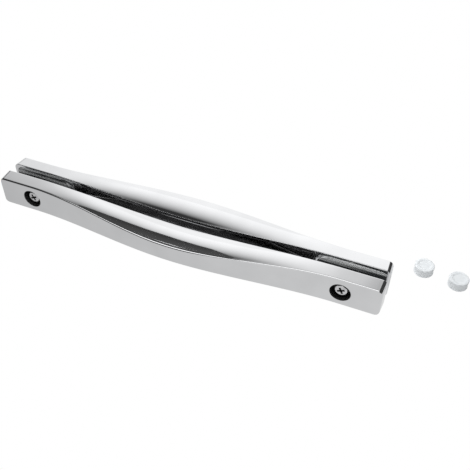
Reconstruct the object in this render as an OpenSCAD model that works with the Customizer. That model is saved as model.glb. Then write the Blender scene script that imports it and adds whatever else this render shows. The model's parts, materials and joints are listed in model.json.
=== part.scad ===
// Double pull handle for a glass shower door: two hollow bow-shaped bars that
// face each other across the glass, joined by two screws, with plug covers.
// The origin is in the middle of the glass, halfway between the two screws.
// X runs along the bars, -Y points out of the front bar, and Z is up.

/* [Bars] */
// Length of each bar
bar_len = 246; // [232:1:320]
// Height of each bar at its ends, on the glass side
bar_h = 19.8; // [19:0.1:26]
// Thickness of each bar at its ends, from the glass side to the face
end_t = 9; // [8.6:0.1:14]
// How much further the face stands out in the middle of the bar
bow = 10.4; // [2:0.2:16]
// How far inside each screw's axis the bow begins
bow_inset = 0; // [0:1:40]
// How far the face's long edges pull in at the middle, each side
face_waist = 4; // [0:0.1:4.6]
// How far the glass side's long edges pull in at the middle, each side
back_waist = 4.9; // [0:0.1:5.2]
// How far the long sides swell out between their edges at the middle
crown = 2; // [0:0.1:2.6]
// How much shorter the face is than the glass side, at each end
end_draft = 0.4; // [0:0.05:1]
// How much lower the face is than the glass side, above and below
side_draft = 0.45; // [0:0.05:0.6]
// Corner radius at the four ends of the face
corner_r = 3; // [1.2:0.1:4]
// Radius of the edge around the face
edge_r = 1; // [0.4:0.1:1.1]

/* [Hollow] */
// Wall of the long sides
side_wall = 2; // [1.4:0.1:2.2]
// Wall behind the face
face_wall = 2.4; // [1.6:0.1:3.4]
// Distance from each screw's axis to the end of the hollow channel
channel_clear = 21; // [18:0.5:24]
// Rim left around each pad
rim = 2; // [1.4:0.1:2.6]
// Wall left on both sides of the counterbore, as the boss that holds the screw
boss_wall = 1.75; // [1.2:0.05:2.5]
// Depth of the cored pockets beside the boss, from the glass side
core_depth = 6.4; // [3:0.1:7]

/* [Fixing] */
// Distance between the two screws, which is that of the holes in the glass
hole_spacing = 200; // [160:1:212]
// Gap between the two bars' glass sides
gap = 7.2; // [6.6:0.1:9]
// Screw thread diameter
screw_d = 4; // [3.5:0.1:5]
// Screw length under the head
screw_len = 18; // [17:0.5:18.5]
// Diameter of the screw's pan head
head_d = 8; // [7:0.1:8.4]
// Height of the screw's head
head_h = 3.1; // [2.4:0.1:3.1]
// Diameter of the cross recess
cross_d = 4.4; // [3.4:0.1:4.8]
// Width of one arm of the cross recess
cross_w = 1; // [0.8:0.1:1.2]
// Depth of the cross recess
cross_depth = 2; // [1.4:0.1:2.2]
// Washer diameter
washer_d = 9; // [8.6:0.1:9.2]
// Washer thickness
washer_t = 0.8; // [0.5:0.1:1]
// Diameter of the counterbore in the front bar
bore_d = 11.5; // [11:0.1:14]
// Depth of the counterbore
bore_depth = 5.4; // [5.2:0.1:5.8]
// Outer diameter of the threaded insert
insert_d = 6; // [5.6:0.1:7]
// Length of the threaded insert
insert_len = 6.4; // [5.6:0.1:6.5]

/* [Glass pads and sleeves] */
// Pad thickness
pad_t = 1.6; // [1.2:0.1:2]
// Corner radius at the pad's outer end
pad_corner_r = 3; // [0.8:0.1:4]
// How deep the pad sits in the bar
pad_seat = 1; // [0.6:0.1:1.2]
// Outer diameter of the sleeve that lines the hole in the glass
sleeve_d = 8; // [7:0.1:10]
// Length of that sleeve
sleeve_len = 5.5; // [4:0.1:5.5]

/* [Plug covers] */
// Cover height, which fills the counterbore
cover_h = 5.4; // [5:0.1:5.8]
// Thickness of the cover's round top
cover_top = 1.3; // [1:0.1:1.4]
// How far the skirt stands back from the edge of the top
cover_step = 0.25; // [0.1:0.05:0.4]
// Width of the raised border on the cover's top
cover_border = 1.9; // [1.2:0.1:3]
// Where the left cover lies: distances along X and Y from the origin
left_cover_at = [138, 32];
// Where the right cover lies: distances along X and Y from the origin
right_cover_at = [158, 29];

/* [Hidden] */
$fn = 64;
// Clearance between pieces that slip into each other
slip = 0.1;
// Clearance around the turning screw in plain holes
screw_play = 0.2;
// Running clearance around the screw in its insert
thread_play = 0.05;
// Axial clearance under the screw head
head_play = 0.05;
// Overlap that keeps cuts clean
eps = 0.02;
// Points along the length between the rounded ends
stations = 38;
// Steps across a long side, and around a face edge
side_steps = 6;
edge_steps = 3;
cavity_steps = 5;
cavity_stations = 24;

half_len = bar_len / 2;
screw_x = hole_spacing / 2;
glass_y = gap / 2;
face_y = glass_y + end_t;
bow_reach = screw_x - bow_inset;
channel_half = screw_x - channel_clear;
boss_half = bore_d / 2 + boss_wall;
pad_h = bar_h - 2 * rim;
pad_end = half_len - rim;
pad_start = channel_half + rim;
floor_z = -bar_h / 2;
under_head_y = face_y - bore_depth + washer_t + head_play;

// ---- shape of a bar: s is the distance from the glass side, x is along it ----

// 1 in the middle of the bar, falling smoothly to 0 where the bow begins
function swell(x) = let (t = min(1, abs(x) / bow_reach)) 1 - 3 * t * t + 2 * t * t * t;
function depth(x) = end_t + bow * swell(x);
function face_half(x) = bar_h / 2 - side_draft - face_waist * swell(x);
function back_half(x) = bar_h / 2 - back_waist * swell(x);

// Half height of the bar at x, a share u of the way from glass side to face
function side_half(x, u) =
    back_half(x) + (face_half(x) - back_half(x)) * u + 4 * crown * swell(x) * u * (1 - u);

// How steeply the side falls towards the face at its edge
function edge_fall(x) = atan((4 * crown * swell(x) + back_half(x) - face_half(x)) / depth(x));

// How far a corner of radius r draws back at a distance e from the end
function draw_back(r, e) = e >= r ? 0 : r - sqrt(r * r - (r - e) * (r - e));

// Upper half of a section: across the side, then round the edge of the face
function upper_side(x, d, cut) = [
    for (i = [0 : side_steps])
        let (s = (d - edge_r) * i / side_steps) [s, side_half(x, s / d) - cut]
];
function upper_edge(x, d, cut) =
    let (
        fall = edge_fall(x),
        start_z = side_half(x, 1 - edge_r / d) - cut,
        centre_z = start_z - edge_r * cos(fall),
        centre_s = d - edge_r
    )
    [
        for (i = [1 : edge_steps])
            let (a = fall + (90 - fall) * i / edge_steps)
                [centre_s + edge_r * sin(a), centre_z + edge_r * cos(a)]
    ];
function upper_outline(x, e) =
    let (d = depth(x) - draw_back(edge_r, e), cut = draw_back(corner_r, e))
    concat(upper_side(x, d, cut), upper_edge(x, d, cut));

// Upper half of the channel's section, one wall inside the bar
function channel_outline(x) = [
    for (i = [0 : cavity_steps])
        let (s = (depth(x) - face_wall) * i / cavity_steps)
            [i == 0 ? -eps : s, side_half(x, s / depth(x)) - side_wall]
];

// A closed section from its upper half, mirrored below
function both_halves(upper) =
    let (n = len(upper))
    concat(upper, [for (i = [n - 1 : -1 : 0]) [upper[i][0], -upper[i][1]]]);

// The ends' faces lean in by the draft, in step with the distance from the glass
function drafted(x, s) = x * (1 - end_draft / half_len * s / depth(x));
function ring(x, outline, lean) = [for (p = outline) [lean ? drafted(x, p[0]) : x, p[0], p[1]]];

// Distances from the end where sections stand in a rounded corner
function end_steps() = [0, 0.03, 0.12, 0.28, 0.52, 1] * corner_r;
function bar_stations() =
    let (inner = half_len - corner_r)
    concat(
        [for (e = end_steps()) -half_len + e],
        [for (i = [1 : stations - 1]) -inner + 2 * inner * i / stations],
        [for (i = [len(end_steps()) - 1 : -1 : 0]) half_len - end_steps()[i]]
    );

// Skin over rings of equal length, closed by the first and the last ring
module loft(rings) {
    n = len(rings[0]);
    last = len(rings) - 1;
    points = [for (r = rings) for (p = r) p];
    sides = [
        for (k = [0 : last - 1])
            for (i = [0 : n - 1])
                let (j = (i + 1) % n, a = k * n, b = (k + 1) * n)
                    each [[a + i, a + j, b + j], [a + i, b + j, b + i]]
    ];
    first_cap = [[for (i = [n - 1 : -1 : 0]) i]];
    last_cap = [[for (i = [0 : n - 1]) last * n + i]];
    polyhedron(points = points, faces = concat(sides, first_cap, last_cap));
}

module bar_skin() {
    loft([
        for (x = bar_stations())
            ring(x, both_halves(upper_outline(x, half_len - abs(x))), true)
    ]);
}

module bar_channel() {
    loft([
        for (i = [0 : cavity_stations])
            let (x = channel_half * (2 * i / cavity_stations - 1))
                ring(x, both_halves(channel_outline(x)), false)
    ]);
}

// Outline of a pad, round at its inner end, grown by the play
module pad_outline(play) {
    r = pad_h / 2 + play;
    c = max(0.4, pad_corner_r + play);
    middle = pad_start + pad_h / 2;
    far = pad_end + play;
    translate([middle, 0]) circle(r = r);
    translate([middle, -r]) square([far - c - middle, 2 * r]);
    translate([middle, c - r]) square([far - middle, 2 * (r - c)]);
    for (side = [-1, 1]) translate([far - c, side * (r - c)]) circle(r = c);
}

// A plate of the pad's outline, from s to s + t beyond the glass side
module pad_plate(s, t, play) {
    translate([0, s + t, 0]) rotate([90, 0, 0]) linear_extrude(t) pad_outline(play);
}

// A cylinder along +Y that starts at a distance s beyond the glass side
module along_y(r, s, length) {
    translate([0, s, 0]) rotate([-90, 0, 0]) cylinder(r = r, h = length);
}

// Cored pockets under the pad, one wall inside its outline, with the boss between them
module end_cores() {
    difference() {
        pad_plate(pad_seat - eps, core_depth - pad_seat + eps, -side_wall);
        translate([screw_x - boss_half, 0, -pad_h / 2])
            cube([2 * boss_half, core_depth + eps, pad_h]);
    }
}

module both_ends() {
    children();
    mirror([1, 0, 0]) children();
}

// A hollow bar with its glass side on y = 0 and its face towards +Y
module hollow_bar() {
    difference() {
        bar_skin();
        bar_channel();
        both_ends() pad_plate(-eps, pad_seat + eps, slip);
        both_ends() end_cores();
        children();
    }
}

module in_front() { translate([0, -glass_y, 0]) mirror([0, 1, 0]) children(); }
module behind() { translate([0, glass_y, 0]) children(); }
module at_screw(side) { translate([side * screw_x, 0, 0]) children(); }

module front_bar() {
    color("silver") in_front() hollow_bar()
        for (side = [-1, 1]) at_screw(side) {
            along_y(bore_d / 2, end_t - bore_depth, bore_depth + bow);
            along_y(screw_d / 2 + screw_play, -eps, end_t);
        }
}

module rear_bar() {
    color("silver") behind() hollow_bar()
        for (side = [-1, 1]) at_screw(side)
            along_y(insert_d / 2, -eps, pad_seat + insert_len + eps);
}

// A soft clear pad in its recess, with a hole for the screw or for the sleeve
module pad(hole_r) {
    proud = pad_seat - pad_t;
    color([0.85, 0.88, 0.9, 0.6]) difference() {
        pad_plate(proud, pad_t, 0);
        at_screw(1) along_y(hole_r, proud - eps, pad_t + 2 * eps);
    }
}
module front_pad() { in_front() pad(sleeve_d / 2 + slip); }
module rear_pad() { behind() pad(screw_d / 2 + screw_play); }

// Round tube along +Y that the screw passes through
module tube(d, length, play) {
    difference() {
        along_y(d / 2, 0, length);
        along_y(screw_d / 2 + play, -eps, length + 2 * eps);
    }
}

// Lines the hole in the glass, and stands on the front bar
module sleeve(side) {
    color([0.9, 0.92, 0.94, 0.6]) at_screw(side) translate([0, -glass_y - pad_seat, 0])
        tube(sleeve_d, sleeve_len, screw_play);
}

// Lies on the floor of the counterbore
module washer(side) {
    start = bore_depth - washer_t - face_y;
    color("gainsboro") at_screw(side) translate([0, start, 0])
        tube(washer_d, washer_t, screw_play);
}

// Threaded insert in the rear bar, drawn with a plain bore
module insert(side) {
    color("goldenrod") at_screw(side) translate([0, glass_y + pad_seat, 0])
        tube(insert_d, insert_len, thread_play);
}

// Cross-shaped recess that narrows towards its floor
module cross_recess() {
    intersection() {
        for (turn = [0, 90])
            rotate([0, turn, 0]) translate([-cross_d / 2, -eps, -cross_w / 2])
                cube([cross_d, cross_depth + eps, cross_w]);
        translate([0, -eps, 0]) rotate([-90, 0, 0])
            cylinder(r1 = cross_d / 2, r2 = cross_w / 2, h = cross_depth + eps);
    }
}

// Pan-head screw that points along +Y, with its head in the counterbore
module screw(side) {
    dome_r = head_d;
    color("silver") at_screw(side) translate([0, -under_head_y, 0]) {
        difference() {
            intersection() {
                along_y(head_d / 2, -head_h, head_h);
                translate([0, dome_r - head_h, 0]) sphere(r = dome_r);
            }
            translate([0, -head_h, 0]) cross_recess();
        }
        along_y(screw_d / 2, -eps, screw_len + eps);
    }
}

// Plug cover that stands on its open skirt, with a bevelled, bordered top
module cover(at) {
    r = bore_d / 2 - slip;
    bevel = 0.5;
    sunk = 0.2;
    bead = 0.9;
    hollow_r = washer_d / 2 + slip;
    color("white") translate([at[0], at[1], floor_z]) rotate_extrude() difference() {
        polygon([
            [0, cover_h - sunk],
            [r - cover_border, cover_h - sunk],
            [r - cover_border + sunk, cover_h],
            [r - bevel, cover_h],
            [r, cover_h - bevel],
            [r, cover_h - cover_top],
            [r - cover_step, cover_h - cover_top],
            [r - cover_step, bead],
            [r, bead - cover_step],
            [r, cover_step],
            [r - cover_step, 0],
            [0, 0]
        ]);
        translate([-eps, -eps]) square([hollow_r + eps, cover_h - cover_top + eps]);
    }
}

front_bar();
rear_bar();
mirror([1, 0, 0]) front_pad();  // front_left_pad
front_pad();  // front_right_pad
mirror([1, 0, 0]) rear_pad();  // rear_left_pad
rear_pad();  // rear_right_pad
sleeve(-1);  // left_sleeve
sleeve(1);  // right_sleeve
washer(-1);  // left_washer
washer(1);  // right_washer
insert(-1);  // left_insert
insert(1);  // right_insert
screw(-1);  // left_screw
screw(1);  // right_screw
cover(left_cover_at);  // left_cover
cover(right_cover_at);  // right_cover
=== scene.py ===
"""Looks of a double pull handle for a glass shower door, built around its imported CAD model.

Each bar is a smooth, finely divided version of the faceted CAD bar, with the same outline.
The bars' own shape is written along x (along the bar) and s (distance from the bar's glass side).
"""
import json
import math

import bmesh
import bpy
from mathutils import Matrix, Vector


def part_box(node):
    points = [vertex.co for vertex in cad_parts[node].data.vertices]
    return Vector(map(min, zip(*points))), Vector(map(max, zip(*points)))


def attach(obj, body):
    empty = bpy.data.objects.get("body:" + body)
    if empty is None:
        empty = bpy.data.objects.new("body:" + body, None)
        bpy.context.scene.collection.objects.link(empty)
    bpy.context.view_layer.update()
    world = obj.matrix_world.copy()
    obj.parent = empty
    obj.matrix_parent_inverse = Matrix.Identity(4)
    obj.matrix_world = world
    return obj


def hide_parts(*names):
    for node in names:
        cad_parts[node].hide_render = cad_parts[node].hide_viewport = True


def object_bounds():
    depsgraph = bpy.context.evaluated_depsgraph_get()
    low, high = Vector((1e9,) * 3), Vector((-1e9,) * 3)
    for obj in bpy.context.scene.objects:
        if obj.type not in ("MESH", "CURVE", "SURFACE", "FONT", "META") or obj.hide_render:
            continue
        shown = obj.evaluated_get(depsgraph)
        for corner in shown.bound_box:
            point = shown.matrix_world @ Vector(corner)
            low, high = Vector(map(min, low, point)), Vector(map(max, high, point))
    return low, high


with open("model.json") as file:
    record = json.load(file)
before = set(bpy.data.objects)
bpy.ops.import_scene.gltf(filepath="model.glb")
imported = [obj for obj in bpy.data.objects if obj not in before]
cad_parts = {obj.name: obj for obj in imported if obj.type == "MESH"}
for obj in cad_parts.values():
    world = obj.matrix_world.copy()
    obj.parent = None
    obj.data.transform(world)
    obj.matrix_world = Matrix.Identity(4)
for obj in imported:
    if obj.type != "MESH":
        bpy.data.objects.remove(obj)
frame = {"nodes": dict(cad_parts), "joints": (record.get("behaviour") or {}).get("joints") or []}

CAD_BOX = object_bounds()
MM = 0.001

# ---- sizes that the frame gives -------------------------------------------------------------

REAR_LOW, REAR_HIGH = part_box("rear_bar")
HALF_LEN = REAR_HIGH.x
HALF_H = REAR_HIGH.z
GLASS_Y = REAR_LOW.y
MID_DEPTH = REAR_HIGH.y - REAR_LOW.y
FLOOR_Z = CAD_BOX[0].z
SCREW_X = next(j["pos_m"][0] for j in frame["joints"] if j["name"] == "right_screw_turn")
PAD_LOW, PAD_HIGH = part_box("rear_right_pad")
SCREW_LOW, SCREW_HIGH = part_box("right_screw")
SLEEVE_LOW, SLEEVE_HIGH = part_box("right_sleeve")

# ---- sizes of the bars that the frame's boxes don't give ------------------------------------

END_T = 9 * MM  # thickness of a bar at its ends
BOW = MID_DEPTH - END_T  # how much further the face stands out in the middle
FACE_WAIST = 4 * MM  # how far the face's long edges pull in at the middle
BACK_WAIST = 4.9 * MM  # how far the glass side's long edges pull in at the middle
CROWN = 2 * MM  # how far the long sides swell out at the middle
END_DRAFT = 0.4 * MM  # how much shorter the face is than the glass side, at each end
SIDE_DRAFT = 0.45 * MM  # how much lower the face is than the glass side
CORNER_R = 3 * MM  # corners at the four ends of the face
EDGE_R = 1 * MM  # edge around the face
GLASS_EDGE_R = 0.25 * MM  # broken edge around the glass side
SIDE_WALL = 2 * MM
FACE_WALL = 2.4 * MM
CHANNEL_CLEAR = 21 * MM  # from each screw to the end of the hollow channel
CORE_DEPTH = 6.4 * MM  # cored pockets beside each screw
BOSS_HALF = 7.5 * MM
BORE_R = 5.75 * MM
BORE_DEPTH = 5.4 * MM
BORE_FLARE = 0.3 * MM  # rounded mouth of the counterbore
HOLE_R = 2.2 * MM
INSERT_R = 3 * MM
PAD_CORNER_R = 3 * MM
PAD_SLIP = 0.1 * MM
PAD_EDGE_R = 0.3 * MM
FRONT_PAD_HOLE_R = 4.1 * MM
SCREW_R = 2 * MM
HEAD_H = 3.1 * MM
PAD_SEAT = 1 * MM  # depth of the pads' recesses in the glass side
INSERT_FLOOR = 7.4 * MM  # depth of the inserts' holes
CUT = 0.02 * MM  # overlap that keeps cuts clean


# ---- mesh tools -----------------------------------------------------------------------------

def mesh_object(name, points, faces, smooth_angle=35):
    """A new object from points and faces, smooth except where faces meet sharply."""
    mesh = bpy.data.meshes.new(name)
    mesh.from_pydata([tuple(p) for p in points], [], faces)
    obj = bpy.data.objects.new(name, mesh)
    bpy.context.scene.collection.objects.link(obj)
    tidy_normals(obj, smooth_angle)
    return obj


def tidy_normals(obj, smooth_angle=35):
    """Turns the faces outwards, and shades them smooth up to that angle between faces."""
    work = bmesh.new()
    work.from_mesh(obj.data)
    bmesh.ops.remove_doubles(work, verts=work.verts, dist=1e-7)
    bmesh.ops.recalc_face_normals(work, faces=work.faces)
    work.to_mesh(obj.data)
    work.free()
    obj.data.shade_smooth()
    obj.data.set_sharp_from_angle(angle=math.radians(smooth_angle))


def loft(name, rings):
    """A closed skin over rings of equal length, with a flat cap on the first and the last."""
    count = len(rings[0])
    faces = []
    for k in range(len(rings) - 1):
        for i in range(count):
            j = (i + 1) % count
            faces.append((k * count + i, k * count + j, (k + 1) * count + j, (k + 1) * count + i))
    faces.append(tuple(range(count)))
    faces.append(tuple(range((len(rings) - 1) * count, len(rings) * count)))
    return mesh_object(name, [p for ring in rings for p in ring], faces)


def lathe(name, profile, segments=96, smooth_angle=35):
    """A solid of revolution about +Z from (radius, height) points; points on the axis close it."""
    points = []
    rows = []
    for radius, height in profile:
        if radius == 0:
            rows.append([len(points)] * segments)
            points.append((0, 0, height))
        else:
            rows.append([len(points) + i for i in range(segments)])
            for i in range(segments):
                turn = 2 * math.pi * i / segments
                points.append((radius * math.cos(turn), radius * math.sin(turn), height))
    faces = []
    for low, high in zip(rows, rows[1:]):
        for i in range(segments):
            j = (i + 1) % segments
            corners = dict.fromkeys((low[i], low[j], high[j], high[i]))
            if len(corners) > 2:
                faces.append(tuple(corners))
    return mesh_object(name, points, faces, smooth_angle)


def ring_profile(outer, inner):
    """A tube's profile closed on itself: the outer wall's points, then the inner wall's back down."""
    return outer + inner[::-1] + outer[:1]


def arc(centre, radius, start, end, steps):
    """Points of an arc about centre, with its angles in degrees from the first axis."""
    points = []
    for i in range(steps + 1):
        a = math.radians(start + (end - start) * i / steps)
        points.append((centre[0] + radius * math.cos(a), centre[1] + radius * math.sin(a)))
    return points


def place(obj, matrix):
    """Moves the object's points themselves, so that the object stays at the origin."""
    obj.data.transform(matrix)
    if matrix.determinant() < 0:
        obj.data.flip_normals()
    return obj


def applied(obj):
    """Bakes the object's modifiers into its mesh."""
    graph = bpy.context.evaluated_depsgraph_get()
    mesh = bpy.data.meshes.new_from_object(obj.evaluated_get(graph))
    old = obj.data
    obj.modifiers.clear()
    obj.data = mesh
    mesh.name = old.name
    bpy.data.meshes.remove(old)
    return obj


def carve(obj, cutters):
    """Cuts the cutters out of the object; the faces that they leave keep the cutters' materials."""
    for cutter in cutters:
        cut = obj.modifiers.new(cutter.name, "BOOLEAN")
        cut.operation = "DIFFERENCE"
        cut.solver = "EXACT"
        cut.material_mode = "TRANSFER"
        cut.object = cutter
        applied(obj)
        bpy.data.objects.remove(cutter)
    tidy_normals(obj)
    return obj


def painted(objects, material):
    """The same objects, each with only that material."""
    for obj in objects:
        obj.data.materials.clear()
        obj.data.materials.append(material)
    return objects


def joined(name, parts):
    """One object from several, in the order given."""
    work = bmesh.new()
    materials = []
    for part in parts:
        first = len(work.faces)
        work.from_mesh(part.data)
        work.faces.ensure_lookup_table()
        for face in work.faces[first:]:
            face.material_index += len(materials)
        materials += list(part.data.materials)
    mesh = bpy.data.meshes.new(name)
    work.to_mesh(mesh)
    work.free()
    for material in materials:
        mesh.materials.append(material)
    for part in parts:
        bpy.data.objects.remove(part)
    obj = bpy.data.objects.new(name, mesh)
    bpy.context.scene.collection.objects.link(obj)
    return obj


# ---- materials ------------------------------------------------------------------------------

def new_material(name, **inputs):
    """A Principled material with its constant inputs set; returns it, its node tree and its shader."""
    material = bpy.data.materials.new(name)
    material.use_nodes = True
    nodes = material.node_tree.nodes
    shader = nodes["Principled BSDF"]
    for key, value in inputs.items():
        shader.inputs[key.replace("_", " ")].default_value = value
    return material, material.node_tree, shader


def add_node(tree, kind, inputs=None, **settings):
    """A node of that kind, with its settings and input values; a socket as a value is linked."""
    node = tree.nodes.new(kind)
    for key, value in settings.items():
        setattr(node, key, value)
    for key, value in (inputs or {}).items():
        if isinstance(value, bpy.types.NodeSocket):
            tree.links.new(value, node.inputs[key])
        else:
            node.inputs[key].default_value = value
    return node


def place_vector(tree, stretch):
    """The object's own coordinates, stretched along its axes."""
    coords = add_node(tree, "ShaderNodeTexCoord")
    inputs = {"Vector": coords.outputs["Object"], "Scale": stretch}
    return add_node(tree, "ShaderNodeMapping", inputs).outputs[0]


def noise(tree, scale, detail=3, stretch=(1, 1, 1), roughness=0.55):
    """Fractal noise from 0 to 1, with its scale in features per metre."""
    where = place_vector(tree, stretch)
    inputs = {"Vector": where, "Scale": scale, "Detail": detail, "Roughness": roughness}
    return add_node(tree, "ShaderNodeTexNoise", inputs).outputs["Fac"]


def spread(tree, value, low, high, start=0.3, end=0.7):
    """Maps a value from the range start to end onto low to high, and stops at both ends."""
    inputs = {"Value": value, "From Min": start, "From Max": end, "To Min": low, "To Max": high}
    return add_node(tree, "ShaderNodeMapRange", inputs).outputs[0]


def bump(tree, height, distance, under=None):
    """A bump from a height between 0 and 1, with its depth in metres."""
    inputs = {"Height": height, "Distance": distance}
    if under is not None:
        inputs["Normal"] = under
    return add_node(tree, "ShaderNodeBump", inputs).outputs[0]


def tint(tree, value, dark, light):
    """A colour between two, by a value from 0 to 1."""
    ramp = add_node(tree, "ShaderNodeValToRGB", {"Fac": value})
    ramp.color_ramp.elements[0].color = (*dark, 1)
    ramp.color_ramp.elements[1].color = (*light, 1)
    return ramp.outputs[0]


def chrome():
    """Polished plate over a casting: slow waves, faint wiping lines along the bar, and haze."""
    material, tree, shader = new_material("chrome_plate", Metallic=1.0)
    cloud = noise(tree, 45, 4)
    wipes = noise(tree, 900, 2, stretch=(0.03, 1, 1))
    colour = tint(tree, spread(tree, cloud, 0, 1), (0.70, 0.705, 0.715), (0.76, 0.765, 0.775))
    tree.links.new(colour, shader.inputs["Base Color"])
    haze = add_node(tree, "ShaderNodeMath", {0: spread(tree, cloud, 0.035, 0.07),
                                             1: spread(tree, wipes, 0.0, 0.025)}, operation="ADD")
    tree.links.new(haze.outputs[0], shader.inputs["Roughness"])
    waves = bump(tree, noise(tree, 70, 1), 0.00002)
    lines = bump(tree, wipes, 0.0000006, under=waves)
    tree.links.new(lines, shader.inputs["Normal"])
    return material


def cast_inside():
    """The bars' unpolished insides: thinly plated zinc casting with flow lines along the bar."""
    material, tree, shader = new_material("cast_inside", Metallic=0.9)
    flow = noise(tree, 500, 3, stretch=(0.08, 1, 1))
    patches = noise(tree, 120, 3)
    colour = tint(tree, spread(tree, flow, 0, 1), (0.20, 0.20, 0.205), (0.42, 0.42, 0.425))
    tree.links.new(colour, shader.inputs["Base Color"])
    tree.links.new(spread(tree, patches, 0.08, 0.16), shader.inputs["Roughness"])
    tree.links.new(bump(tree, flow, 0.00004), shader.inputs["Normal"])
    return material


def painted_bore_shade():
    """Walls of counterbores, holes and cross recesses: nearly black, as they look in the photograph; the
    black is painted shade for the dark inside these hollows.
    """
    material, tree, shader = new_material("painted_shade_black", Metallic=0.3)
    rings = noise(tree, 1500, 2, stretch=(0.2, 2, 0.2))
    # Painted shade: near black, for the dark in bores, holes and cross recesses.
    colour = tint(tree, rings, (0.008, 0.008, 0.008), (0.03, 0.03, 0.03))
    tree.links.new(colour, shader.inputs["Base Color"])
    tree.links.new(spread(tree, rings, 0.3, 0.5), shader.inputs["Roughness"])
    tree.links.new(bump(tree, rings, 0.000005), shader.inputs["Normal"])
    return material


def screw_steel():
    """Bright zinc-plated steel, with fine turning marks around the screw's axis."""
    material, tree, shader = new_material("zinc_plated_steel", Metallic=1.0)
    stains = noise(tree, 700, 3)
    colour = tint(tree, spread(tree, stains, 0, 1), (0.56, 0.56, 0.57), (0.74, 0.74, 0.75))
    tree.links.new(colour, shader.inputs["Base Color"])
    tree.links.new(spread(tree, stains, 0.16, 0.3), shader.inputs["Roughness"])
    tree.links.new(bump(tree, noise(tree, 4000, 2), 0.000006), shader.inputs["Normal"])
    return material


def washer_steel():
    """Flat stamped washer: duller plate with fine scratches."""
    material, tree, shader = new_material("washer_steel", Metallic=1.0)
    scratches = noise(tree, 3000, 2, stretch=(1, 1, 0.1))
    colour = tint(tree, scratches, (0.38, 0.38, 0.39), (0.58, 0.58, 0.58))
    tree.links.new(colour, shader.inputs["Base Color"])
    tree.links.new(spread(tree, scratches, 0.25, 0.42), shader.inputs["Roughness"])
    tree.links.new(bump(tree, scratches, 0.000008), shader.inputs["Normal"])
    return material


def brass():
    """Turned brass inserts, slightly tarnished."""
    material, tree, shader = new_material("turned_brass", Metallic=1.0)
    tarnish = noise(tree, 600, 4)
    colour = tint(tree, spread(tree, tarnish, 0, 1), (0.45, 0.29, 0.10), (0.78, 0.57, 0.25))
    tree.links.new(colour, shader.inputs["Base Color"])
    tree.links.new(spread(tree, tarnish, 0.2, 0.4), shader.inputs["Roughness"])
    turning = noise(tree, 5000, 1, stretch=(0.1, 3, 0.1))
    tree.links.new(bump(tree, turning, 0.00001), shader.inputs["Normal"])
    return material


def clear_pad():
    """Vinyl pads, nearly opaque: dark and light streaks stand in for what clear ones would reflect."""
    material, tree, shader = new_material("clear_vinyl", Transmission_Weight=0.08, IOR=1.45)
    marks = noise(tree, 380, 1, stretch=(0.03, 0.3, 1))
    colour = tint(tree, spread(tree, marks, 0, 1, 0.38, 0.62), (0.03, 0.032, 0.035), (0.80, 0.815, 0.82))
    tree.links.new(colour, shader.inputs["Base Color"])
    tree.links.new(spread(tree, marks, 0.06, 0.14), shader.inputs["Roughness"])
    tree.links.new(bump(tree, marks, 0.00012), shader.inputs["Normal"])
    return material


def clear_sleeve():
    """Natural nylon tube, milky and nearly clear."""
    material, tree, shader = new_material("natural_nylon", Transmission_Weight=0.55, IOR=1.5)
    cloud = noise(tree, 800, 3)
    colour = tint(tree, spread(tree, cloud, 0, 1), (0.78, 0.79, 0.76), (0.90, 0.91, 0.88))
    tree.links.new(colour, shader.inputs["Base Color"])
    tree.links.new(spread(tree, cloud, 0.3, 0.45), shader.inputs["Roughness"])
    tree.links.new(bump(tree, cloud, 0.00001), shader.inputs["Normal"])
    return material


def white_plastic():
    """Moulded white plastic with a cool tone and a fine satin texture."""
    material, tree, shader = new_material("white_plastic", Specular_IOR_Level=0.5)
    cloud = noise(tree, 500, 4)
    colour = tint(tree, spread(tree, cloud, 0, 1), (0.83, 0.865, 0.89), (0.87, 0.90, 0.92))
    tree.links.new(colour, shader.inputs["Base Color"])
    tree.links.new(spread(tree, cloud, 0.38, 0.5), shader.inputs["Roughness"])
    tree.links.new(bump(tree, noise(tree, 3000, 2), 0.000002), shader.inputs["Normal"])
    return material


# ---- shape of a bar -------------------------------------------------------------------------

def swell(x):
    """1 in the middle of the bar, falling smoothly to 0 at the screws, where the bow begins."""
    t = min(1, abs(x) / SCREW_X)
    return 1 - 3 * t * t + 2 * t * t * t


def depth(x):
    return END_T + BOW * swell(x)


def side_half(x, u):
    """Half height of the bar at x, a share u of the way from its glass side to its face."""
    back = HALF_H - BACK_WAIST * swell(x)
    face = HALF_H - SIDE_DRAFT - FACE_WAIST * swell(x)
    return back + (face - back) * u + 4 * CROWN * swell(x) * u * (1 - u)


def edge_fall(x):
    """How steeply the side falls towards the face where the two meet, in degrees."""
    back = HALF_H - BACK_WAIST * swell(x)
    face = HALF_H - SIDE_DRAFT - FACE_WAIST * swell(x)
    return math.degrees(math.atan((4 * CROWN * swell(x) + back - face) / depth(x)))


def draw_back(radius, e):
    """How far a corner of that radius draws back at a distance e from the end."""
    return 0 if e >= radius else radius - math.sqrt(radius * radius - (radius - e) ** 2)


def upper_outline(x, e):
    """Upper half of a section: the broken glass edge, the side, the face's edge, and the face."""
    side_steps = 18
    edge_steps = 8
    d = depth(x) - draw_back(EDGE_R, e)
    cut = draw_back(CORNER_R, e)
    first = side_half(x, GLASS_EDGE_R / d) - cut
    outline = [
        (GLASS_EDGE_R - z, first - GLASS_EDGE_R + s)
        for z, s in arc((0, 0), GLASS_EDGE_R, 0, 90, 3)
    ][:-1]
    span = d - EDGE_R - GLASS_EDGE_R
    for i in range(side_steps + 1):
        s = GLASS_EDGE_R + span * i / side_steps
        outline.append((s, side_half(x, s / d) - cut))
    fall = edge_fall(x)
    centre = (d - EDGE_R, outline[-1][1] - EDGE_R * math.cos(math.radians(fall)))
    for z, s in arc((0, 0), EDGE_R, fall, 90, edge_steps)[1:]:
        outline.append((centre[0] + s, centre[1] + z))
    guard = 0.25 * MM
    outline.append((outline[-1][0], outline[-1][1] - guard))
    return outline


def both_halves(upper):
    return upper + [(s, -z) for s, z in reversed(upper)]


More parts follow.
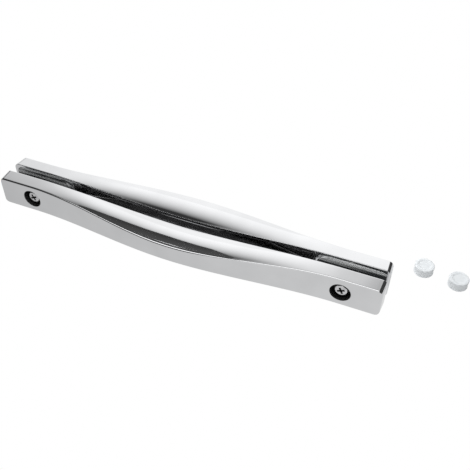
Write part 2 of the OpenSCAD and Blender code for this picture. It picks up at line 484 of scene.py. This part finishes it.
def drafted(x, s):
    """The ends' faces lean in, in step with the distance from the glass."""
    return x * (1 - END_DRAFT / HALF_LEN * s / depth(x))


def bar_stations():
    """Pairs of x and the distance from the nearer end, close together in the rounded corners."""
    corner_steps = 10
    middle_steps = 180
    inner = HALF_LEN - CORNER_R
    ends = [CORNER_R * (1 - math.cos(math.pi / 2 * i / corner_steps)) for i in range(corner_steps)]
    xs = [-HALF_LEN + e for e in ends]
    xs += [-inner + 2 * inner * i / middle_steps for i in range(middle_steps + 1)]
    xs += [HALF_LEN - e for e in reversed(ends)]
    return xs


def bar_skin(name):
    """The bar's outside, with a narrow guard ring inside each flat end so that it shades flat."""
    guard_share = 0.94
    rings = []
    for x in bar_stations():
        outline = both_halves(upper_outline(x, HALF_LEN - abs(x)))
        rings.append([(drafted(x, s), s, z) for s, z in outline])
    for ring, at in ((rings[0], 0), (rings[-1], len(rings) + 1)):
        middle = Vector((ring[0][0], END_T / 2, 0))
        rings.insert(at, [middle + guard_share * (Vector(p) - middle) for p in ring])
    return loft(name, rings)


def channel_cutter():
    """The hollow behind the bow, one wall inside the bar, with rounded corners at its floor."""
    half = SCREW_X - CHANNEL_CLEAR
    round_r = 1.2 * MM
    stations = 120
    levels = 10
    rings = []
    for i in range(stations + 1):
        x = half * (2 * i / stations - 1)
        floor = depth(x) - FACE_WALL
        upper = []
        for k in range(levels + 1):
            s = -CUT + (floor - round_r + CUT) * k / levels
            upper.append((s, side_half(x, max(s, 0) / depth(x)) - SIDE_WALL))
        upper += [
            (floor - round_r + s, upper[levels][1] - round_r + z)
            for z, s in arc((0, 0), round_r, 0, 90, 4)[1:]
        ]
        rings.append([(x, s, z) for s, z in both_halves(upper)])
    return loft("channel", rings)


def pad_outline(grown):
    """(x, z) points of the right pad's outline, round at its inner end, grown by that much."""
    least_corner = 0.4 * MM
    round_steps = 24
    corner_steps = 5
    r = PAD_HIGH.z + grown
    corner = max(least_corner, PAD_CORNER_R + grown)
    far = PAD_HIGH.x + grown
    outline = arc((PAD_LOW.x + PAD_HIGH.z, 0), r, 90, 270, round_steps)
    outline += arc((far - corner, corner - r), corner, 270, 360, corner_steps)
    outline += arc((far - corner, r - corner), corner, 0, 90, corner_steps)
    return outline


def plate(name, outline, start, end):
    """A plate of that (x, z) outline between two distances s."""
    return loft(name, [[(x, s, z) for x, z in outline] for s in (start, end)])


def edged_plate(name, outline_of, start, end, edge):
    """A plate with rounded edges; outline_of gives its outline grown by a distance."""
    steps = 4
    guard = -2.5 * edge  # a ring inside each flat side, so that it shades flat
    rings = []
    for i in range(steps + 1):
        a = math.radians(90 * i / steps)
        rings.append((start + edge * (1 - math.sin(a)), edge * (math.cos(a) - 1)))
    rings.reverse()
    rings.insert(0, (start, guard))
    rings += [(start + end - s, g) for s, g in reversed(rings)]
    return loft(name, [[(x, s, z) for x, z in outline_of(g)] for s, g in rings])


def along_s(obj, x):
    """Turns an object that stands on +Z so that it points along +s at that x."""
    return place(obj, Matrix.Translation((x, 0, 0)) @ Matrix.Rotation(math.radians(-90), 4, "X"))


def core_cutters():
    """Pockets on both sides of the screw's boss, under the pad."""
    inner_x = SCREW_X - BOSS_HALF
    outer_x = SCREW_X + BOSS_HALF
    outline = pad_outline(-SIDE_WALL)
    top = max(z for x, z in outline)
    inner = [(x, z) for x, z in outline if x < inner_x] + [(inner_x, -top), (inner_x, top)]
    outer = [(outer_x, top), (outer_x, -top)] + [(x, z) for x, z in outline if x > outer_x]
    return [plate("core", ring, PAD_SEAT - CUT, CORE_DEPTH) for ring in (inner, outer)]


def cylinder_cutter(radius, start, end, x):
    profile = [(0, start), (radius, start), (radius, end), (0, end)]
    return along_s(lathe("cutter", profile), x)


def counterbore_cutter(x):
    """The counterbore, with a rounded mouth in the face."""
    mouth = END_T
    profile = [(0, mouth - BORE_DEPTH), (BORE_R, mouth - BORE_DEPTH)]
    centre = (BORE_R + BORE_FLARE, mouth - BORE_FLARE)
    profile += arc(centre, BORE_FLARE, 180, 90, 5)
    profile += [(BORE_R + BORE_FLARE, mouth + BOW), (0, mouth + BOW)]
    return along_s(lathe("counterbore", profile), x)


def mirrored(obj):
    """A copy of the object on the other side of x = 0."""
    copy = obj.copy()
    copy.data = obj.data.copy()
    bpy.context.scene.collection.objects.link(copy)
    return place(copy, Matrix.Scale(-1, 4, (1, 0, 0)))


def bar(name, side, chrome_look, inside_look, bore_shade_look):
    """A finished bar: side is -1 for the front bar and 1 for the rear one."""
    skin = bar_skin(name)
    skin.data.materials.append(chrome_look)
    plated = [plate("recess", pad_outline(PAD_SLIP), -CUT, PAD_SEAT)]
    plated += [mirrored(cutter) for cutter in plated]
    if side < 0:
        bores = [counterbore_cutter(SCREW_X), cylinder_cutter(HOLE_R, 0, END_T, SCREW_X)]
    else:
        bores = [cylinder_cutter(INSERT_R, 0, INSERT_FLOOR, SCREW_X)]
    bores += [mirrored(cutter) for cutter in bores]
    rough = core_cutters()
    rough += [mirrored(cutter) for cutter in rough] + [channel_cutter()]
    # The bores and holes take the near-black painted shade.
    carve(skin, painted(plated, chrome_look) + painted(bores, bore_shade_look) + painted(rough, inside_look))
    return place(skin, stand(side))


def stand(side):
    """From a bar's own place, x and s, to the frame: the front bar is turned to face -Y."""
    return Matrix.Translation((0, side * GLASS_Y, 0)) @ Matrix.Scale(side, 4, (0, 1, 0))


# ---- the smaller pieces ---------------------------------------------------------------------

def pad(name, end, side, hole_r, look):
    """A soft pad with rounded edges and a hole; end is -1 on the left and 1 on the right."""
    thick = PAD_HIGH.y - PAD_LOW.y
    start = PAD_SEAT - thick
    body = edged_plate(name, pad_outline, start, PAD_SEAT, PAD_EDGE_R)
    body.data.materials.append(look)
    carve(body, painted([cylinder_cutter(hole_r, start - CUT, PAD_SEAT + CUT, SCREW_X)], look))
    if end < 0:
        place(body, Matrix.Scale(-1, 4, (1, 0, 0)))
    return place(body, stand(side))


def cross_recess():
    """Four arms that narrow towards the recess's floor, cut from the top of the head at z = 0."""
    reach = 2.3 * MM
    deep = 2 * MM
    mouth = (reach, 0.65 * MM, CUT)  # half length, half width, height
    bottom = (0.6 * MM, 0.35 * MM, -deep)
    arms = []
    for turn in (25, 115):
        points = []
        for length, width, z in (mouth, bottom):
            for sx, sy in ((-1, -1), (1, -1), (1, 1), (-1, 1)):
                points.append((sx * length, sy * width, z))
        faces = [(0, 1, 2, 3), (4, 5, 6, 7), (0, 1, 5, 4), (1, 2, 6, 5), (2, 3, 7, 6), (3, 0, 4, 7)]
        arm = mesh_object("arm", points, faces)
        arms.append(place(arm, Matrix.Rotation(math.radians(turn), 4, "Z")))
    return arms


def thread(name, major, length):
    """An M4 thread that fades out at both ends, from z = 0 down to z = -length."""
    pitch = 0.7 * MM
    tooth = 0.43 * MM
    tip_length = 0.6 * MM
    tip_draw = 0.5 * MM  # how far the tip draws in
    steepness = 4.8
    root_width = 0.6
    around = 40
    rows_per_turn = 8
    rows = int(length / pitch * rows_per_turn)
    points = []
    for k in range(rows + 1):
        z = length * k / rows
        fade = min(1, z / pitch, (length - z) / pitch)
        for i in range(around):
            phase = (z / pitch + i / around) % 1
            crest = min(1, max(0, steepness * abs(phase - 0.5) - root_width))
            taper = tip_draw * max(0, 1 - (length - z) / tip_length)
            radius = major - taper - tooth * (1 - crest * fade)
            turn = 2 * math.pi * i / around
            points.append((radius * math.cos(turn), radius * math.sin(turn), -z))
    faces = [tuple(range(around)), tuple(range(rows * around, (rows + 1) * around))]
    for k in range(rows):
        for i in range(around):
            j = (i + 1) % around
            faces.append((k * around + i, k * around + j, (k + 1) * around + j, (k + 1) * around + i))
    return mesh_object(name, points, faces, smooth_angle=50)


def screw(name, side, look, recess_shade_look):
    """A pan-head screw with a cross recess and a thread, head towards -Y."""
    head_r = (SCREW_HIGH.x - SCREW_LOW.x) / 2
    shoulder = 1.1 * MM
    profile = [(0, HEAD_H), (0.3 * head_r, HEAD_H), (head_r - shoulder - 0.2 * MM, HEAD_H - 0.03 * MM)]
    profile += arc((head_r - shoulder, HEAD_H - shoulder - 0.05 * MM), shoulder, 85, 0, 8)
    profile += [(head_r, 0.15 * MM), (head_r - 0.15 * MM, 0), (0, 0)]
    head = lathe("head", profile, 96)
    head.data.materials.append(look)
    top = Matrix.Translation((0, 0, HEAD_H))
    # The cross recess takes the near-black painted shade.
    carve(head, painted([place(arm, top) for arm in cross_recess()], recess_shade_look))
    shank = thread("shank", SCREW_R, SCREW_HIGH.y - SCREW_LOW.y - HEAD_H)
    shank.data.materials.append(look)
    whole = joined(name, [head, shank])
    whole.data.shade_smooth()
    whole.data.set_sharp_from_angle(angle=math.radians(40))
    point_in = Matrix.Translation((side * SCREW_X, SCREW_LOW.y + HEAD_H, 0))
    return place(whole, point_in @ Matrix.Rotation(math.radians(90), 4, "X"))


def sleeve(name, side, look):
    """A tube with broken edges that lines the hole in the glass."""
    outer_r = (SLEEVE_HIGH.x - SLEEVE_LOW.x) / 2
    length = SLEEVE_HIGH.y - SLEEVE_LOW.y
    edge = 0.2 * MM
    outer = [(outer_r - edge, 0), (outer_r, edge), (outer_r, length - edge), (outer_r - edge, length)]
    inner = [(HOLE_R + edge, 0), (HOLE_R, edge), (HOLE_R, length - edge), (HOLE_R + edge, length)]
    tube = lathe(name, ring_profile(outer, inner), 64, 50)
    tube.data.materials.append(look)
    along_s(tube, side * SCREW_X)
    return place(tube, Matrix.Translation((0, SLEEVE_LOW.y, 0)))


def cover(name, node, look):
    """A plug cover: a bevelled top with a raised border, a stepped skirt and a bead at its foot."""
    low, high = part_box(node)
    r = (high.x - low.x) / 2
    height = high.z - low.z
    top = 1.3 * MM
    step = 0.25 * MM
    border = 1.9 * MM
    sunk = 0.2 * MM
    bevel = 0.5 * MM
    hollow = r - 1.05 * MM
    profile = [(0, height - sunk), (0.5 * r, height - sunk), (r - border - sunk, height - sunk)]
    profile += [(r - border, height - 0.04 * MM), (r - border + 0.1 * MM, height)]
    profile += arc((r - bevel, height - bevel), bevel, 80, 5, 6)
    profile += [(r, height - top + 0.1 * MM), (r - 0.05 * MM, height - top), (r - step, height - top)]
    profile += [(r - step, 1.0 * MM)]
    profile += [(r - 0.06 * MM, 0.78 * MM), (r, 0.65 * MM), (r, 0.4 * MM), (r - 0.08 * MM, 0.22 * MM)]
    profile += [(r - step, 0), (hollow + 0.15 * MM, 0), (hollow, 0.15 * MM)]
    profile += [(hollow, height - top - 0.3 * MM), (hollow - 0.3 * MM, height - top), (0, height - top)]
    plug = lathe(name, profile, 128, 40)
    plug.data.materials.append(look)
    middle = (low + high) / 2
    return place(plug, Matrix.Translation((middle.x, middle.y, low.z)))


def fit(piece, body, slot, *nodes):
    """The piece rides on that body and stands for those CAD nodes; slot is not used."""
    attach(piece, body)
    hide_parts(*nodes)


def dress_nodes(names, look):
    for name in names:
        data = frame["nodes"][name].data
        data.materials.clear()
        data.materials.append(look)


def build_object():
    chrome_look = chrome()
    inside_look = cast_inside()
    pad_look = clear_pad()
    sleeve_look = clear_sleeve()
    steel_look = screw_steel()
    plastic_look = white_plastic()
    bore_shade_look = painted_bore_shade()
    for body, side in (("front", -1), ("rear", 1)):
        plated_bar = bar(f"{body}_bar_plated", side, chrome_look, inside_look, bore_shade_look)
        fit(plated_bar, body, "chrome", f"{body}_bar")
    for end, word in ((-1, "left"), (1, "right")):
        front_pad = pad(f"front_{word}_soft_pad", end, -1, FRONT_PAD_HOLE_R, pad_look)
        fit(front_pad, "front", "clear_plastic", f"front_{word}_pad")
        rear_pad = pad(f"rear_{word}_soft_pad", end, 1, HOLE_R, pad_look)
        fit(rear_pad, "rear", "clear_plastic", f"rear_{word}_pad")
        tube = sleeve(f"{word}_nylon_sleeve", end, sleeve_look)
        fit(tube, "front", "clear_plastic", f"{word}_sleeve")
        threaded = screw(f"{word}_pan_screw", end, steel_look, bore_shade_look)
        fit(threaded, f"{word}_screw", "steel", f"{word}_screw")
        plug = cover(f"{word}_plug_cover", f"{word}_cover", plastic_look)
        fit(plug, f"{word}_cover", "white_plastic", f"{word}_cover")
    dress_nodes(["left_washer", "right_washer"], washer_steel())
    dress_nodes(["left_insert", "right_insert"], brass())


# ---- studio ---------------------------------------------------------------------------------
#
# The camera sees a plain white table and room. What the polished bars reflect is set below, and
# its places and levels were tuned by comparing the render's brightness with the photograph's.
# Nothing here moves with the camera. Lengths are in metres, in the frame.

TABLE_HALF = 1.5
TABLE_X = (-0.2, 0.2)
TABLE_LEVELS = (0.58, 0.80)  # the table in front of the bars, at those two x
BEHIND_X = (-1.0, 0.15)
BEHIND_Y = (0.06, 2.0)
BEHIND_FADES = (0.02, 0.04)
BEHIND_LEVEL = 1.30  # the table behind the bars

# Cards that hang far off round the table, each over the ones before it: brightness, the bearings
# between which it hangs (0 is straight behind the bars, 90 to their right), the heights between
# which it hangs, and how softly it fades at its sides and at its top and bottom, all in degrees.
CARDS = (
    (0.55, -105, -40, -30, 20, 10, 6),  # low white sweep on the left
    (0.50, 65, 125, -30, 20, 8, 6),  # low white sweep on the right
    (1.45, -48, 10, -30, 60, 12, 8),  # backdrop
    (1.00, 165, 195, -30, 62, 8, 4),  # white card in front, up to where the bearings end at 180
    (1.00, -195, -168, -30, 62, 6, 4),  # and its other half, where they start again at -180
)
DARK_ROOM = 0.07

CANOPY_HEIGHT = 0.113
CANOPY_X = (-0.25, 0.150)
CANOPY_Y = (-0.10, 0.21)
CANOPY_DARK = 0.04  # what the canopy gives off everywhere, also in its gap
SOFTBOX = 1.6
SOFTBOX_X = (-0.145, 0.15)
SOFTBOX_Y = (-0.08, 0.001)
SOFTBOX_FADES = (0.02, 0.005)
SLOT_Y = 0.012  # where the dark gap between the softbox and the sweep ends, at x = 0
SLOT_SLANT = 0.11  # how much nearer the front it ends towards the right
SWEEP = 1.25
SWEEP_FADE = 0.043  # how slowly the sweep brightens behind the gap
SWEEP_LEFT_X = (-0.215, -0.12)
SWEEP_LEFT = (0.82, 1.0)  # the share of the sweep's level at those two x
GREY_END_X = 0.3
GREY_Y = (-0.2, 0.115)
GREY_Y_FADE = 0.03
GREY_STEPS = ((0.075, 0.02, -0.24), (0.105, 0.010, -0.30))  # start x, fade, and change of the sweep

FLAG_HEIGHT = 0.040
FLAG = ((-0.110, -0.0155), (0.035, -0.0155), (0.028, -0.007), (0.012, 0.001),
        (-0.018, 0.005), (-0.052, 0.0025), (-0.075, 0.001), (-0.102, -0.002))  # its corners, x and y
FLAG_Y = (-0.012, 0.004)
FLAG_LEVELS = (0.085, 0.04)  # at those two y

FILL_SIZE = 0.5
FILL_ENERGY = 1.25
FILL_PLACE = (0.05, 0.05, 0.45)


def calculate(tree, operation, first, second=None):
    """A maths node's result, from sockets or numbers."""
    inputs = {0: first} if second is None else {0: first, 1: second}
    return add_node(tree, "ShaderNodeMath", inputs, operation=operation).outputs[0]


def mixed(tree, share, first, second):
    """The first level where share is 0, and the second where it is 1."""
    return add_node(tree, "ShaderNodeMix", {"Factor": share, "A": first, "B": second}).outputs[0]


def rise(tree, value, at, fade):
    """0 below that value and 1 above it, with a soft step; a negative fade turns it round."""
    inputs = {"Value": value, "From Min": at - fade, "From Max": at + fade}
    return add_node(tree, "ShaderNodeMapRange", inputs, interpolation_type="SMOOTHSTEP").outputs[0]


def patch(tree, across, left, right, side_fade, up, bottom, top, end_fade):
    """1 inside a rectangle of two coordinates and 0 outside it, with soft edges."""
    sides = calculate(tree, "MULTIPLY", rise(tree, across, left, side_fade),
                      rise(tree, across, right, -side_fade))
    ends = calculate(tree, "MULTIPLY", rise(tree, up, bottom, end_fade), rise(tree, up, top, -end_fade))
    return calculate(tree, "MULTIPLY", sides, ends)


def glow(tree, level):
    """A shader that gives off that much light."""
    return add_node(tree, "ShaderNodeEmission", {"Strength": level}).outputs[0]


def white_to_camera(tree, other):
    """A shader that shows plain white to the camera, and the other shader to everything else."""
    path = add_node(tree, "ShaderNodeLightPath")
    inputs = {0: path.outputs["Is Camera Ray"], 1: other, 2: glow(tree, 1.0)}
    return add_node(tree, "ShaderNodeMixShader", inputs).outputs[0]


def flat_sheet(name, xs, ys, z):
    """A flat rectangle between two x and two y."""
    corners = [(xs[0], ys[0], z), (xs[1], ys[0], z), (xs[1], ys[1], z), (xs[0], ys[1], z)]
    return mesh_object(name, corners, [(0, 1, 2, 3)])


def stage_material(obj, name):
    """Gives the object a new material; returns its node tree and sockets for the object's x and y."""
    material = bpy.data.materials.new(name)
    material.use_nodes = True
    material.cycles.emission_sampling = "NONE"
    obj.data.materials.append(material)
    tree = material.node_tree
    coords = add_node(tree, "ShaderNodeTexCoord")
    split = add_node(tree, "ShaderNodeSeparateXYZ", {0: coords.outputs["Object"]})
    return tree, split.outputs["X"], split.outputs["Y"]


def studio_floor():
    """A wide table top at the height that the object stands on, brighter behind the bars."""
    floor = flat_sheet("studio_floor", (-TABLE_HALF, TABLE_HALF), (-TABLE_HALF, TABLE_HALF), FLOOR_Z)
    tree, x, y = stage_material(floor, "pale_table")
    front = spread(tree, x, *TABLE_LEVELS, *TABLE_X)
    behind = patch(tree, x, *BEHIND_X, BEHIND_FADES[0], y, *BEHIND_Y, BEHIND_FADES[1])
    shader = white_to_camera(tree, glow(tree, mixed(tree, behind, front, BEHIND_LEVEL)))
    tree.links.new(shader, tree.nodes["Material Output"].inputs["Surface"])


def studio_world():
    """A dark room with soft white cards hung round the table."""
    world = bpy.data.worlds.new("studio")
    bpy.context.scene.world = world
    world.use_nodes = True
    tree = world.node_tree
    coords = add_node(tree, "ShaderNodeTexCoord")
    split = add_node(tree, "ShaderNodeSeparateXYZ", {0: coords.outputs["Generated"]})
    height = calculate(tree, "DEGREES", calculate(tree, "ARCSINE", split.outputs["Z"]))
    bearing = calculate(tree, "ARCTAN2", split.outputs["X"], split.outputs["Y"])
    bearing = calculate(tree, "DEGREES", bearing)
    level = DARK_ROOM
    for brightness, left, right, bottom, top, side_fade, end_fade in CARDS:
        inside = patch(tree, bearing, left, right, side_fade, height, bottom, top, end_fade)
        level = mixed(tree, inside, level, brightness)
    light = add_node(tree, "ShaderNodeBackground", {"Strength": level})
    shader = white_to_camera(tree, light.outputs[0])
    tree.links.new(shader, tree.nodes["World Output"].inputs["Surface"])


def sweep_level(tree, x, y):
    """The sweep's level: dark up to the gap's end, then brighter backwards, and greyer to both sides."""
    slanted = calculate(tree, "ADD", y, calculate(tree, "MULTIPLY", x, SLOT_SLANT))
    past = calculate(tree, "MAXIMUM", calculate(tree, "SUBTRACT", slanted, SLOT_Y), 0.0)
    left_over = calculate(tree, "EXPONENT", calculate(tree, "DIVIDE", past, -SWEEP_FADE))
    sweep = calculate(tree, "MULTIPLY", calculate(tree, "SUBTRACT", 1.0, left_over), SWEEP)
    sweep = calculate(tree, "MULTIPLY", sweep, spread(tree, x, *SWEEP_LEFT, *SWEEP_LEFT_X))
    for start, fade, change in GREY_STEPS:
        area = patch(tree, x, start, GREY_END_X, fade, y, *GREY_Y, GREY_Y_FADE)
        grey = calculate(tree, "MULTIPLY", area, change)
        sweep = calculate(tree, "ADD", sweep, calculate(tree, "MULTIPLY", sweep, grey))
    return sweep


def canopy():
    """Above the bars: a softbox over their front, a dark gap, and a sweep that brightens backwards."""
    sheet = flat_sheet("studio_canopy", CANOPY_X, CANOPY_Y, CANOPY_HEIGHT)
    tree, x, y = stage_material(sheet, "canopy_light")
    softbox = patch(tree, x, *SOFTBOX_X, SOFTBOX_FADES[0], y, *SOFTBOX_Y, SOFTBOX_FADES[1])
    softbox = calculate(tree, "MULTIPLY", softbox, SOFTBOX)
    level = calculate(tree, "ADD", sweep_level(tree, x, y), softbox)
    level = calculate(tree, "ADD", level, CANOPY_DARK)
    tree.links.new(glow(tree, level), tree.nodes["Material Output"].inputs["Surface"])
    sheet.visible_camera = False
    sheet.visible_shadow = False


def dark_flag():
    """A small dark card over the gap, seen only in reflections: the dark band along the front bar."""
    corners = [(x, y, FLAG_HEIGHT) for x, y in FLAG]
    card = mesh_object("studio_flag", corners, [tuple(range(len(FLAG)))])
    tree, _, y = stage_material(card, "black_card")
    level = spread(tree, y, *FLAG_LEVELS, *FLAG_Y)
    tree.links.new(glow(tree, level), tree.nodes["Material Output"].inputs["Surface"])
    card.visible_camera = False
    card.visible_shadow = False
    card.visible_diffuse = False
    card.visible_transmission = False


def fill_light():
    """A wide soft lamp overhead that lifts the matt pieces, and that the polished ones don't show."""
    lamp = bpy.data.lights.new("fill", "AREA")
    lamp.shape = "DISK"
    lamp.size = FILL_SIZE
    lamp.energy = FILL_ENERGY
    holder = bpy.data.objects.new("fill", lamp)
    holder.location = FILL_PLACE
    holder.visible_glossy = False
    holder.visible_transmission = False
    bpy.context.scene.collection.objects.link(holder)


def studio_camera():
    """The camera looks down at the bars from the front right."""
    azimuth = math.radians(22.8)
    elevation = math.radians(42.6)
    distance = 0.3965
    target = Vector((0.0297, 0.0072, 0))
    data = bpy.data.cameras.new("camera")
    data.sensor_width = 36
    data.lens = 51.32
    data.clip_start = 0.01
    data.clip_end = 10
    camera = bpy.data.objects.new("camera", data)
    bpy.context.scene.collection.objects.link(camera)
    back = Vector((math.sin(azimuth) * math.cos(elevation), -math.cos(azimuth) * math.cos(elevation),
                   math.sin(elevation)))
    camera.location = target + back * distance
    camera.rotation_mode = "QUATERNION"
    roll = Matrix.Rotation(math.radians(0.45), 3, "Z").to_quaternion()
    camera.rotation_quaternion = (-back).to_track_quat("-Z", "Y") @ roll
    bpy.context.scene.camera = camera


build_object()
studio_floor()
studio_world()
canopy()
dark_flag()
fill_light()
studio_camera()
bpy.context.scene.view_settings.view_transform = "Standard"
